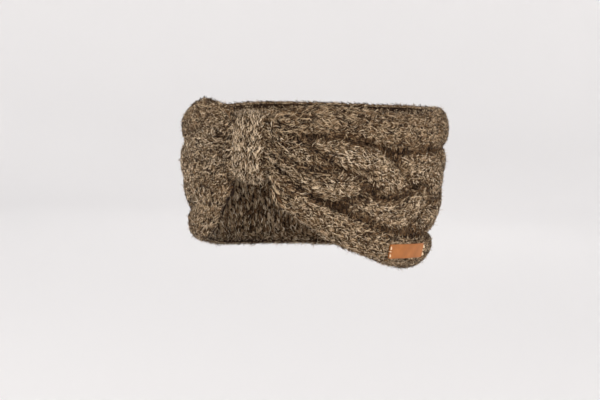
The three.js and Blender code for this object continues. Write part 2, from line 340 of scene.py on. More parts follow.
def waist_point(turn, front_wall, back_wall, edge_wall):
    """Reach and height on the rounded oblong round the cinched waist, grown by the given walls."""
    middle = WRAP_BACK_WALL + WRAP_CLEARANCE + WAIST_THICKNESS / 2
    c, s = np.cos(turn), np.sin(turn)
    half_reach = WAIST_THICKNESS / 2 + np.where(c > 0, front_wall, back_wall)
    half_height = WAIST_HEIGHT / 2 + edge_wall
    reach = middle + half_reach * np.sign(c) * np.abs(c) ** WAIST_SQUARENESS
    height = WAIST_MIDDLE + half_height * np.sign(s) * np.abs(s) ** WAIST_SQUARENESS
    return reach, height


WRAP_EDGE = float(wrap_angle(1.0, 0.0))
print("the wrap covers", round(2 * WRAP_EDGE, 1), "degrees of the ring")

# %% [markdown]
# ## Rolls of knitting
#
# The band reads as five soft rolls: the two borders, which curl as plain knitting does at an edge, and
# the three strands of the plait, which pass over and under each other. Each roll is described by its
# section, half an oval, at any angle of the ring. A turn of 0 degrees is the roll's crest, and 90 and
# -90 are its two flanks.

# %% Where each roll runs
CROSSING_LIFT = 2.9  # how far a strand rises over its neighbour, or dips beneath it
STRAND_HALF = 13.0  # half the width of a strand where the band is fully open
STRAND_DEPTH = 7.2  # from a strand's flank to its crest
STRAND_CREST = GROUND_THICKNESS + STRAND_RISE
STRAND_SWING = 0.3  # of the plait's width, from its middle to that of a strand
STRAND_FULL = 0.56  # the plait's share of the band's width where its strands are full
NECK_DROP = 1.2  # how much lower the strands' crests are towards the neck
NECK_START = 25.0  # mm below the band's middle where that drop is whole
THINNEST = 0.35  # a strand's least share of its full thickness
PUCKER_LIFT = 1.3  # the gathers beside the wrap, against the solid's
PULLED_FLAT = 0.5  # how much of a crease is lost where the knitting is pulled
PULLED_SIDE = (-115, -85, -10, 10)  # angles where the pull on the wearer's right starts, is whole and ends
PULLED_BY_WRAP = (10, 26)  # angles from the wrap where its own pull ends


def draw_in(angle, waist, reach, height):
    """Points in space, moved beside the wrap from their open reach and height to those at the waist."""
    is_open = smoothstep(from_wrap(angle), WRAP_EDGE, WRAP_EDGE + FLARE_ANGLE)
    reach = waist[0] + (reach - waist[0]) * is_open
    height = waist[1] + (height - waist[1]) * is_open
    return on_ring(angle, reach, height)


def pucker(beside, share):
    """How far the gathers beside the wrap stand out."""
    gathered = 1 - smoothstep(beside, WRAP_EDGE, GATHER_END)
    return PUCKER_LIFT * PUCKER_DEPTH * gathered * np.cos(2 * np.pi * PUCKER_COUNT * share)


def settle(angle, reach, height):
    """An open place in space, drawn in towards the cinched waist beside the wrap, with its gathers."""
    share = width_share(angle, height)
    waist = waist_point(np.pi * (share - 0.5), 0, 0, 0)
    return draw_in(angle, waist, reach + pucker(from_wrap(angle), share), height)


def relief(angle):
    """How deep the creases are: full, but softer beside the wrap and where the wearer's right is pulled."""
    side = np.mod(angle + 180, 360) - 180
    pulled = smoothstep(side, *PULLED_SIDE[:2]) * (1 - smoothstep(side, *PULLED_SIDE[2:]))
    gathered = 1 - smoothstep(np.abs(side), *PULLED_BY_WRAP)
    return 1 - PULLED_FLAT * np.maximum(pulled, gathered)


# %% The sections of the rolls
def border_section(angle, is_upper):
    """A border's middle and half width, as shares of the band's width, and how far its crest stands out."""
    if is_upper:
        groove = from_table(GROOVES, from_wrap(angle), 1)
        return (1 + groove) / 2, (1 - groove) / 2, GROUND_THICKNESS + UPPER_BORDER_RISE
    groove = from_table(GROOVES, from_wrap(angle), 2)
    return groove / 2, groove / 2, GROUND_THICKNESS + LOWER_BORDER_RISE


def border(angle, turn, is_upper):
    """Angle, reach and height of a place on a rolled border."""
    low, high = edges(angle)
    middle, half, thick = border_section(angle, is_upper)
    height = low + (high - low) * (middle + half * np.sin(np.radians(turn)))
    towards_plait = (np.sin(np.radians(turn)) < 0) == is_upper
    fall = thick / 2 * (1 - np.cos(np.radians(turn))) * np.where(towards_plait, relief(angle), 1)
    return angle, head_reach(height) + thick - fall, height


def strand_course(angle, index):
    """Height of a strand's middle, its lift and its width share at an angle."""
    beside = from_wrap(angle)
    low, high = edges(angle)
    top, bottom = from_table(GROOVES, beside, 1), from_table(GROOVES, beside, 2)
    start = CROSSING_PHASE + index * 360 / STRAND_COUNT
    phase = np.radians(PLAIT_REPEATS * (angle - CROSSING_ANGLE) + start)
    middle = (top + bottom) / 2 + STRAND_SWING * (top - bottom) * np.sin(phase)
    share = (high - low) * (top - bottom) / (STRAND_FULL * BAND_WIDTH)
    return low + (high - low) * middle, -CROSSING_LIFT * np.sin(2 * phase), share


def strand_crest(height):
    """How far a strand's crest stands out: a little less towards the neck, where the band is pulled in."""
    return STRAND_CREST - NECK_DROP * smoothstep(-height, 0, NECK_START)


def strand_tilt(angle, index):
    """How far a strand climbs from the ring's own course, in radians, and the mm that two degrees cover."""
    ahead, behind = strand_course(angle + 1, index)[0], strand_course(angle - 1, index)[0]
    stride = np.linalg.norm(on_ring(angle + 1, 0, 0) - on_ring(angle - 1, 0, 0), axis=-1)
    return np.arctan2(ahead - behind, stride), stride


def strand(angle, turn, index):
    """Angle, reach and height of a place on a strand, whose sections stand square to its course."""
    height, lift, share = strand_course(angle, index)
    tilt, stride = strand_tilt(angle, index)
    aside = STRAND_HALF * share * np.sin(np.radians(turn))
    place = angle - np.sin(tilt) * aside / (stride / 2)
    height = height + np.cos(tilt) * aside
    fall = STRAND_DEPTH * (1 - np.cos(np.radians(turn))) * relief(angle)
    reach = head_reach(height) + strand_crest(height) + (lift - fall) * np.clip(share, THINNEST, 1)
    return place, reach, height


# %% [markdown]
# ## The ground piece
#
# The ground is one closed ring. It starts as a circle of points, which is spun once round the band's
# axis into a plain ring. Then every point of that ring is moved to its place on the knitting, a little
# under the stitches. Spinning gives clean rows of faces that no hand-made list could better.

# %% Helpers for forms and objects
def add_object(name, data):
    """Puts a new object into the scene."""
    thing = bpy.data.objects.new(name, data)
    bpy.context.scene.collection.objects.link(thing)
    return thing


def finished_mesh(form, name):
    """A finished form as a mesh."""
    mesh = bpy.data.meshes.new(name)
    form.to_mesh(mesh)
    form.free()
    return mesh


def spin_round(form, section, steps):
    """Spins a section once round the upright axis."""
    around = {"cent": (0, 0, 0), "axis": (0, 0, 1), "angle": 2 * math.pi, "steps": steps}
    bmesh.ops.spin(form, geom=section, use_merge=True, **around)


# %% Spin the ground ring and give it its shape
RING_STEPS = 300
SECTION_STEPS = 64
GROUND_INSET = 2.2  # the stitches' crests stand this far above the ground
INNER_INSET = 2.0
WAIST_INSET = 1.6
WAIST_BACK_INSET = 0.6
GROUND_SHARE = 0.976  # of the band's width, so the border's stitches cover its edges
EDGE_ROUND = 7.5  # mm over which the solid's thickness rises from an edge
EDGE_WALL = 3.0


def thickness(angle, share):
    """The solid's thickness at a share of the width from the lower edge to the upper."""
    beside = from_wrap(angle)
    upper, lower = from_table(GROOVES, beside, 1), from_table(GROOVES, beside, 2)

    def ridge(middle, half):
        return np.maximum(0, 1 - ((share - middle) / half) ** 2) ** 0.8

    rise = LOWER_BORDER_RISE * ridge(lower / 2, 0.55 * lower)
    rise = np.maximum(rise, UPPER_BORDER_RISE * ridge((1 + upper) / 2, 0.55 * (1 - upper)))
    for index in range(STRAND_COUNT):
        height, lift, _ = strand_course(angle, index)
        ridge_half = 0.224 * (upper - lower)
        over = (STRAND_RISE + 0.8 * lift) * ridge(width_share(angle, height), ridge_half)
        rise = np.maximum(rise, over)
    rise = rise + pucker(beside, share)
    inwards = np.clip(np.minimum(share, 1 - share), 0, 1) * BAND_WIDTH
    edge = np.minimum(1, np.sqrt(inwards / EDGE_ROUND))
    return EDGE_WALL + (GROUND_THICKNESS + rise - EDGE_WALL) * edge


def ring_mesh(name, ring_steps, section_steps, shape):
    """A closed ring spun from a circle and shaped by shape(angle, turn round the section)."""
    big, small = 100.0, 10.0
    shell = bmesh.new()
    stand_up = Matrix.Translation((big, 0, 0)) @ Matrix.Rotation(math.pi / 2, 4, "X")
    bmesh.ops.create_circle(shell, segments=section_steps, radius=small, matrix=stand_up)
    spin_round(shell, shell.verts[:] + shell.edges[:], ring_steps)
    x, y, z = np.array([vertex.co for vertex in shell.verts]).T
    angle = np.degrees(np.arctan2(y, x)) + 0.25
    turn = np.arctan2(z, np.hypot(x, y) - big)
    for vertex, place in zip(shell.verts, shape(angle, turn) * MM):
        vertex.co = place
    bmesh.ops.recalc_face_normals(shell, faces=shell.faces)
    mesh = finished_mesh(shell, name)
    mesh.shade_smooth()
    return mesh


def ground_shape(angle, turn):
    outside = np.cos(turn) >= 0
    share = 0.5 + np.where(outside, turn / np.pi, (np.sign(turn) * np.pi - turn) / np.pi)
    low, high = edges(angle)
    height = low + (high - low) * (0.5 + GROUND_SHARE * (share - 0.5))
    reach = head_reach(height) + np.where(outside, thickness(angle, share) - GROUND_INSET, INNER_INSET)
    waist = waist_point(turn, -WAIST_INSET, -WAIST_BACK_INSET, -WAIST_INSET)
    return draw_in(angle, waist, reach, height)


def add_knitting(name, legs):
    """Puts the copies of a leg into the scene as one piece."""
    return add_piece(name, leg_copies(name, legs), spun_wool)


def add_piece(name, mesh, material):
    """Puts a finished mesh into the scene as a piece that rides on the band."""
    mesh.materials.append(material)
    piece = add_object(name, mesh)
    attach(piece, "root")
    triangles = sum(len(face.vertices) - 2 for face in mesh.polygons)
    print(name, "has", triangles, "triangles")
    return piece


ground_mesh = ring_mesh("knitted_ground", RING_STEPS, SECTION_STEPS, ground_shape)
knitted_ground = add_piece("knitted_ground", ground_mesh, ground_wool_painted_shade)
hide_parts("band")

# %% [markdown]
# ## One leg of a stitch
#
# A plain stitch shows as a V. Each of its two legs is a short fat length of yarn that comes up from under
# the stitch below and dives under the one above. One leg is made here from a coarse ball: it is drawn
# out, kept full along its middle and bent down at its ends. Thousands of them follow, so it has only a
# few dozen faces.

# %% Model a leg
LEG_SIDES = 5
LEG_RINGS = 5
leg_form = bmesh.new()
bmesh.ops.create_uvsphere(leg_form, u_segments=LEG_SIDES, v_segments=LEG_RINGS, radius=1.0)
bmesh.ops.rotate(leg_form, verts=leg_form.verts, matrix=Matrix.Rotation(math.pi / 2, 3, "Y"))
for vertex in leg_form.verts:
    fullness = max(0.05, 1 - vertex.co.x**2) ** -0.16
    vertex.co.y *= fullness
    vertex.co.z *= fullness
leg_mesh = finished_mesh(leg_form, "stitch_leg")
leg_points = np.array([vertex.co for vertex in leg_mesh.vertices])
leg_loops = np.array([loop.vertex_index for loop in leg_mesh.loops])
leg_sizes = np.array([len(face.vertices) for face in leg_mesh.polygons])
print("a leg has", len(leg_sizes), "faces")

# %% [markdown]
# ## Laying stitches along a roll
#
# Along each roll run a few columns of stitches side by side. A column is a curve on the roll. It is cut
# into equal steps, and each step gets two legs, one leaning each way. Where one roll passes under
# another, its stitches can't be seen and are left out. Beside a roll that stands out further, they lie
# in its crease and are darkened there with painted shade.

# %% Lay the stitches
ROW_PITCH = 4.7  # mm from one stitch to the next along a column
YARN_RADIUS = 1.5
YARN_STRETCH = 500.0  # mm of yarn to pick from, so no two legs show the same streaks
LEG_LEAN = math.radians(24)
LEG_REACH = 0.78  # half a leg's length, as a share of the pitch, so each leg passes under the next
LEG_DIP = 1.2  # mm that a leg's ends dive under their neighbours
DEEPEST_TONE = 0.15  # painted shade: what a stitch keeps of its tone at the bottom of a crease
chance = np.random.default_rng(7)


def unit(vectors):
    return vectors / np.linalg.norm(vectors, axis=-1, keepdims=True)


def leg_record(middle, along, out, half, radius, tone, is_open):
    """Legs as one record: their places, frames, half lengths, radii, tones and how open they lie."""
    across = np.cross(out, along)
    values = (middle, along, across, out, half, radius, tone, is_open)
    return dict(zip(("middle", "along", "across", "out", "half", "radius", "tone", "open"), values))


def column(roll, turn, step_turn, rows):
    """The middles of a column's stitches with their directions, width and pitch."""

    def surface(places, turned):
        return settle(*roll(places, turned))

    fine = np.linspace(FIRST_ANGLE, LAST_ANGLE, 1440)
    line = surface(fine, np.zeros_like(fine))
    travelled = np.concatenate([[0], np.cumsum(np.linalg.norm(np.diff(line, axis=0), axis=1))])
    stops = (np.arange(rows) + 0.5) / rows * travelled[-1]
    angle = np.interp(stops, travelled, fine)
    middle = surface(angle, turn)
    along = surface(angle + 0.4, turn) - surface(angle - 0.4, turn)
    across = surface(angle, turn + step_turn / 4) - surface(angle, turn - step_turn / 4)
    width = 2 * np.linalg.norm(across, axis=-1)
    ahead = surface(np.interp(stops + 0.5, travelled, fine), turn)
    pitch = np.linalg.norm(ahead - middle, axis=-1) * travelled[-1] / rows / 0.5
    along, across = unit(along), unit(across)
    out = unit(np.cross(along, across))
    pitch = np.clip(pitch, 0.6 * ROW_PITCH, 1.6 * ROW_PITCH)
    across = unit(np.cross(out, along))
    return dict(angle=angle, middle=middle, along=along, across=across, out=out, width=width, pitch=pitch)


def stitch_legs(col, keep):
    """Both legs of every stitch in a column, each with its own frame and size."""
    legs = []
    for hand in (-1, 1):
        count = int(keep.sum())
        width, pitch = col["width"][keep], col["pitch"][keep]
        along, across, out = col["along"][keep], col["across"][keep], col["out"][keep]
        # painted shade: a stitch in a crease is darkened, down to DEEPEST_TONE of its tone at the bottom
        lit = DEEPEST_TONE + (1 - DEEPEST_TONE) * col["open"][keep]
        lean = hand * LEG_LEAN + chance.normal(0, math.radians(4), count)
        forward = along * np.cos(lean)[:, None] + across * np.sin(lean)[:, None]
        radius = np.clip(0.3 * width, 0.8, 1.15 * YARN_RADIUS) * chance.uniform(0.92, 1.1, count)
        shift = (0.25 * hand * width + chance.normal(0, 0.12, count))[:, None]
        depth = (0.9 * YARN_RADIUS + chance.normal(0, 0.15, count))[:, None]
        middle = col["middle"][keep] + across * shift - out * depth
        half = LEG_REACH * pitch * chance.uniform(0.93, 1.07, count)
        tone = np.clip(chance.normal(0.5, 0.2, count), 0, 1) * lit
        legs.append(leg_record(middle, forward, out, half, radius, tone, col["open"][keep]))
    return join_legs(legs)


def join_legs(groups):
    return {key: np.concatenate([group[key] for group in groups]) for key in groups[0]}


# %% Join copies into one mesh
def joined_mesh(name, points, loops, sizes, tone):
    """One mesh of many copies of a form: its corners differ from copy to copy, its faces do not."""
    count, corners = points.shape[:2]
    mesh = bpy.data.meshes.new(name)
    mesh.vertices.add(count * corners)
    mesh.vertices.foreach_set("co", (points * MM).ravel())
    all_loops = (loops[None, :] + corners * np.arange(count)[:, None]).ravel()
    mesh.loops.add(len(all_loops))
    mesh.loops.foreach_set("vertex_index", all_loops.astype(np.int32))
    all_sizes = np.tile(sizes, count)
    mesh.polygons.add(len(all_sizes))
    starts = np.concatenate([[0], np.cumsum(all_sizes)[:-1]])
    mesh.polygons.foreach_set("loop_start", starts.astype(np.int32))
    mesh.update(calc_edges=True)
    tones = np.repeat(tone, corners)
    mesh.attributes.new("tone", "FLOAT", "POINT").data.foreach_set("value", tones)
    return mesh


def leg_copies(name, legs):
    """One mesh of all the legs, with each point's place along its yarn."""
    count = len(legs["half"])
    x, y, z = leg_points.T
    run = x[None, :] * legs["half"][:, None]
    side = y[None, :] * legs["radius"][:, None]
    up = z[None, :] * 0.95 * YARN_RADIUS - LEG_DIP * (x[None, :] + 0.2) ** 2 + 0 * run
    points = legs["middle"][:, None, :]
    for amount, way in ((run, "along"), (side, "across"), (up, "out")):
        points = points + amount[..., None] * legs[way][:, None, :]
    mesh = joined_mesh(name, points, leg_loops, leg_sizes, legs["tone"])
    offset = chance.uniform(0, YARN_STRETCH, (count, 1, 3))
    yarn = np.stack([run, side, up], axis=-1) + offset
    mesh.attributes.new("yarn_place", "FLOAT_VECTOR", "POINT").data.foreach_set("vector", yarn.ravel())
    mesh.shade_smooth()
    return mesh


# %% Columns along a roll
BORDER_ROWS = 128
STRAND_ROWS = 138
FIRST_ANGLE = WRAP_EDGE - 1.0
LAST_ANGLE = 360 - FIRST_ANGLE
HIDING_DEPTH = 1.5
CROWDED_WIDTH = 2.6  # mm; every other column ends where they are narrower
BEHIND_TURN = 95  # columns past this turn end where the band is drawn in
NOTHING_THERE = -50.0  # mm, for a place that no other roll covers
CREASE_START = -5.0  # mm against the nearest roll, where a place gets the darkest painted crease shade
CREASE_END = 4.5
BORDER_COLUMNS = 7
BORDER_INNER = 78  # the turns where a border's first and last columns end, from its crest
BORDER_OUTER = 166
BORDER_HALF = 11.5  # mm, half a border's usual width
BORDER_DEPTH = 5.7
UPPER_PAINTED_SHADE = 0.68  # painted shade, darkest on the borders: each factor darkens the loose fibres on its part, and the wrap's stitches
LOWER_PAINTED_SHADE = 0.76
PLAIT_PAINTED_SHADE = 0.88
WRAP_PAINTED_SHADE = 0.92
CREASE_WALK = [(0, 5), (0, -5), (3, 0), (-3, 0), (2, 3.5), (2, -3.5), (-2, 3.5), (-2, -3.5)]


def even_turns(first, last, count, half, depth):
    """Turns of equally wide columns round an oval section."""
    turn = np.linspace(first, last, 400)
    speed = np.hypot(half * np.cos(np.radians(turn)), depth * np.sin(np.radians(turn)))
    walked = np.cumsum(speed)
    ends = np.interp(np.linspace(0, walked[-1], count + 1), walked, turn)
    return 0.5 * (ends[1:] + ends[:-1]), np.diff(ends)


def crest_above(angle, height, skip):
    """How far the highest of the other rolls stands out at a place."""
    share = width_share(angle, height)
    best = np.full_like(angle, NOTHING_THERE)
    soft = relief(angle)
    for name in ("upper", "lower"):
        if skip == name:
            continue
        middle, half, thick = border_section(angle, name == "upper")
        off = (share - middle) / half
        softened = np.where((off < 0) == (name == "upper"), soft, 1)
        fall = thick / 2 * (1 - np.sqrt(np.clip(1 - off**2, 0, 1))) * softened
        best = np.where(np.abs(off) < 1, np.maximum(best, thick - fall), best)
    for index in range(STRAND_COUNT):
        if skip == index:
            continue
        middle, lift, small = strand_course(angle, index)
        square = np.cos(strand_tilt(angle, index)[0])
        off = (height - middle) * square / (STRAND_HALF * small)
        fall = STRAND_DEPTH * (1 - np.sqrt(np.clip(1 - off**2, 0, 1))) * soft
        top = strand_crest(height) + (lift - fall) * np.clip(small, THINNEST, 1)
        best = np.where(np.abs(off) < 1, np.maximum(best, top), best)
    return best


def openness(angle, height, own, skip):
    """1 where a place on a roll lies open, and less in the crease beside a roll that stands out further."""
    nearest = np.full_like(angle, NOTHING_THERE)
    low, high = edges(angle)
    for turned, higher in CREASE_WALK:
        walked = height + higher * np.clip((high - low) / BAND_WIDTH, 0, 1)
        nearest = np.maximum(nearest, crest_above(angle + turned, walked, skip))
    return 1 - (1 - smoothstep(own - nearest, CREASE_START, CREASE_END)) * relief(angle)


def lay_roll(roll, turns, rows, skip, painted_shade):
    """All the legs of a roll, without those hidden under another roll."""
    groups = []
    for number, (turn, step) in enumerate(zip(*turns)):
        col = column(roll, turn, step, rows)
        angle, reach, height = roll(col["angle"], turn)
        own = reach - head_reach(height)
        hidden = crest_above(angle, height, skip) > own + HIDING_DEPTH
        crowded = (col["width"] < CROWDED_WIDTH) & (number % 2 == 1)
        behind = (abs(turn) > BEHIND_TURN) & (from_wrap(angle) < WRAP_EDGE + FLARE_ANGLE + 2)
        inside_wrap = from_wrap(angle) < WRAP_EDGE - 1.5
        col["open"] = openness(angle, height, own, skip)
        groups.append(stitch_legs(col, ~(hidden | crowded | behind | inside_wrap)))
    legs = join_legs(groups)
    # painted shade: the part's factor darkens the loose fibres that grow on these legs
    legs["open"] *= painted_shade
    return legs


# %% The two borders
upper_turns = even_turns(-BORDER_INNER, BORDER_OUTER, BORDER_COLUMNS, BORDER_HALF, BORDER_DEPTH)
lower_turns = even_turns(-BORDER_OUTER, BORDER_INNER, BORDER_COLUMNS, BORDER_HALF, BORDER_DEPTH)
upper_legs = lay_roll(lambda a, t: border(a, t, True), upper_turns, BORDER_ROWS, "upper", UPPER_PAINTED_SHADE)
lower_legs = lay_roll(lambda a, t: border(a, t, False), lower_turns, BORDER_ROWS, "lower", LOWER_PAINTED_SHADE)
upper_border = add_knitting("upper_border", upper_legs)
lower_border = add_knitting("lower_border", lower_legs)

# %% The plait's strands
STRAND_COLUMNS = 6
STRAND_END = 84  # the turn where a strand's outermost columns end
plait_turns = even_turns(-STRAND_END, STRAND_END, STRAND_COLUMNS, STRAND_HALF, STRAND_DEPTH)
strand_legs = []
for index, name in enumerate(["first_strand", "second_strand", "third_strand"]):
    legs = lay_roll(
        lambda a, t, index=index: strand(a, t, index), plait_turns, STRAND_ROWS, index, PLAIT_PAINTED_SHADE
    )
    strand_legs.append(legs)
    add_knitting(name, legs)

# %% [markdown]
# ## The grooves
#
# Between the rolls the knitting shows its wrong side: short bumps across the columns. They lie deep in the
# grooves and keep them from looking empty.

# %% Fill the grooves
GROOVE_DEPTH = 9.0  # where no roll stands out further than this, the ground shows
GROOVE_ROWS = 180
GROOVE_COLUMNS = 24
GROOVE_BUMP = 2.0  # mm, a bump's radius
GROOVE_FLOOR = GROUND_THICKNESS - 0.5
GROOVE_TOP = GROUND_THICKNESS + 1.5
FILLED = 0.7  # how much of its depth a groove loses where the knitting is pulled flat
EDGE_CLEAR = 0.1  # of the width, at each edge, where the borders leave no groove


def groove_bumps():
    rows, columns = np.meshgrid(np.arange(GROOVE_ROWS), np.arange(GROOVE_COLUMNS), indexing="ij")
    angle = FIRST_ANGLE + (LAST_ANGLE - FIRST_ANGLE) * (rows.ravel() + 0.5) / GROOVE_ROWS
    share = (columns.ravel() + 0.5 + 0.5 * (rows.ravel() % 2)) / (GROOVE_COLUMNS + 0.5)
    low, high = edges(angle)
    height = low + (high - low) * share
    top = crest_above(angle, height, None)
    keep = (top < GROOVE_DEPTH) & (share > EDGE_CLEAR) & (share < 1 - EDGE_CLEAR)
    pitch = ((high - low) / GROOVE_COLUMNS)[keep]
    angle, height, top = angle[keep], height[keep], top[keep]
    flat = (1 - relief(angle)) / PULLED_FLAT
    shallow = STRAND_CREST - STRAND_DEPTH * (1 - FILLED * flat)
    reach = np.maximum(shallow, np.clip(top, GROOVE_FLOOR, GROOVE_TOP)) - 0.8

    def at(turned, higher):
        return settle(angle + turned, head_reach(height + higher) + reach, height + higher)

    along = unit(at(0, 0.5) - at(0, -0.5))
    sideways = unit(at(0.3, 0) - at(-0.3, 0))
    out = unit(np.cross(sideways, along))
    count = len(angle)
    middle = at(0, 0) + chance.normal(0, 0.35, (count, 3))
    half = 0.8 * pitch * chance.uniform(0.85, 1.15, count)
    radius = GROOVE_BUMP * chance.uniform(0.85, 1.15, count) * np.clip(pitch / 4.5, 0.5, 1)
    # painted shade: the bumps deep in a groove are dark, and so are the fibres on them, less so where the
    # knitting is pulled flat
    tone = np.clip(chance.normal(0.2 + 0.25 * flat, 0.1), 0, 1)
    return leg_record(middle, along, out, half, radius, tone, 0.2 + 0.75 * flat)


groove_legs = groove_bumps()
grooves = add_knitting("grooves", groove_legs)

# %% [markdown]
# ## The inner face
#
# The wrong side of plain knitting shows no Vs. It shows rows of short bumps, each bridging two columns,
# laid like bricks. They are the same legs, turned across the columns.

# %% Lay the bumps of the inner face
INNER_ROWS = 128
INNER_COLUMNS = 21
INNER_SHARE = 0.9  # of the band's width; the borders curl over the rest
INNER_REACH = 0.8
INNER_BUMP = 1.75  # mm, a bump's radius


def inner_bumps():
    groups = []
    for row in range(INNER_ROWS):
        angle = FIRST_ANGLE + 2 + (LAST_ANGLE - FIRST_ANGLE - 4) * (row + 0.5) / INNER_ROWS
        share = (np.arange(INNER_COLUMNS) + 0.5 + 0.5 * (row % 2)) / (INNER_COLUMNS + 0.5)
        angle = angle + 0 * share
        low, high = edges(angle)

        def at(place, part):
            height = low + (high - low) * (0.5 + INNER_SHARE * (part - 0.5))
            waist = waist_point(np.pi * (1.5 - part), 0, 0, 0)
            return draw_in(place, waist, head_reach(height) + INNER_REACH, height)

        climb = at(angle, share + 0.01) - at(angle, share - 0.01)
        along = unit(climb)
        sideways = unit(at(angle + 0.3, share) - at(angle - 0.3, share))
        out = unit(np.cross(along, sideways))
        pitch = np.linalg.norm(climb, axis=-1) / 0.02 / INNER_COLUMNS
        count = len(share)
        lean = chance.normal(0, math.radians(12), count)[:, None]
        leaning = along * np.cos(lean) + unit(np.cross(out, along)) * np.sin(lean)
        middle = at(angle, share) - out * 0.4 + chance.normal(0, 0.35, (count, 3))
        half = 0.62 * pitch * chance.uniform(0.85, 1.2, count)
        radius = INNER_BUMP * chance.uniform(0.8, 1.15, count) * np.clip(pitch / 5, 0.5, 1)
        tone = np.clip(chance.normal(0.45, 0.25, count), 0, 1)
        groups.append(leg_record(middle, leaning, out, half, radius, tone, np.ones(count)))
    return join_legs(groups)


inner_legs = inner_bumps()
inner_face = add_knitting("inner_face", inner_legs)

# %% [markdown]
# ## The wrap
#
# The wrap is a narrow strip of plain knitting, once round the gathered waist and sewn to itself behind.
# Its own ground is a closed loop, spun and shaped as the band's is, and its columns of stitches run up
# the front and down the back.

# %% Shape the wrap
WRAP_INSET = 1.7


def wrap_place(turn, across, inset):
    """A place on the wrap's outer face: turn goes round the waist, across goes from -1 to 1."""
    full = WRAP_SIDE_SHARE + (1 - WRAP_SIDE_SHARE) * np.sqrt(np.clip(1 - across**2, 0, 1))
    reach, height = waist_point(
        turn,
        WRAP_CLEARANCE + WRAP_FRONT_WALL * full - inset,
        WRAP_CLEARANCE + WRAP_BACK_WALL - inset,
        WRAP_CLEARANCE + WRAP_EDGE_WALL * full - inset,
    )
    return on_ring(wrap_angle(across, reach), reach, height)


def wrap_ground_shape(angle, turn):
    loop = np.radians(angle)
    across = 0.97 * np.sin(turn)
    outer = wrap_place(loop, across, WRAP_INSET)
    reach, height = waist_point(loop, WRAP_CLEARANCE, WRAP_CLEARANCE, WRAP_CLEARANCE)
    inner = on_ring(wrap_angle(across, reach), reach, height)
    is_outer = (np.cos(turn) >= -1e-6)[:, None]
    return np.where(is_outer, outer, inner)


wrap_mesh = ring_mesh("wrap_ground", 72, 24, wrap_ground_shape)
wrap_ground = add_piece("wrap_ground", wrap_mesh, ground_wool_painted_shade)
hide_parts("front_wrap")

# %% Lay the wrap's stitches
WRAP_COLUMNS = 6
WRAP_ROWS = 26


def wrap_legs():
    groups = []
    turn = np.linspace(0, 2 * np.pi, 721)
    line = wrap_place(turn, 0 * turn, 0)
    travelled = np.concatenate([[0], np.cumsum(np.linalg.norm(np.diff(line, axis=0), axis=1))])
    stops = (np.arange(WRAP_ROWS) + 0.5) / WRAP_ROWS * travelled[-1]
    middle_turn = np.interp(stops, travelled, turn)
    pitch = np.full(WRAP_ROWS, travelled[-1] / WRAP_ROWS)
    side = 0.5 / WRAP_COLUMNS
    for number in range(WRAP_COLUMNS):
        across = (2 * number + 1) / WRAP_COLUMNS - 1

        def at(turned, aside):
            return wrap_place(middle_turn + turned, np.full(WRAP_ROWS, across + aside), 0)

        along = unit(at(0.05, 0) - at(-0.05, 0))
        sideways = at(0, side) - at(0, -side)
        out = unit(np.cross(unit(sideways), along))
        col = dict(middle=at(0, 0), along=along, across=np.cross(along, out), out=out, pitch=pitch)
        col["width"] = 2 * np.linalg.norm(sideways, axis=-1)
        # painted shade: the wrap's stitches and their fibres are darkened by its factor
        col["open"] = np.full(WRAP_ROWS, WRAP_PAINTED_SHADE)
        groups.append(stitch_legs(col, np.ones(WRAP_ROWS, bool)))
    return join_legs(groups)


front_legs = wrap_legs()
wrap_stitches = add_knitting("wrap_stitches", front_legs)

# %% [markdown]
# ## The fuzz
#
# A sliver starts on the upper side of a leg, lies more or less along it, and ends in a point. Most of
# them hug the stitches and give the wool its mottled streaks. A few stand off and make the soft outline.
# In the creases they are fewer, and darkened there with painted shade.

# %% Grow the loose fibres
FIBRE_WIDTH = 0.42  # mm; a few real fibres side by side
SLIVER_LOOPS = np.array([0, 1, 3, 2, 2, 3, 4])  # a face with four corners, then one with three
SLIVER_SIZES = np.array([4, 3])


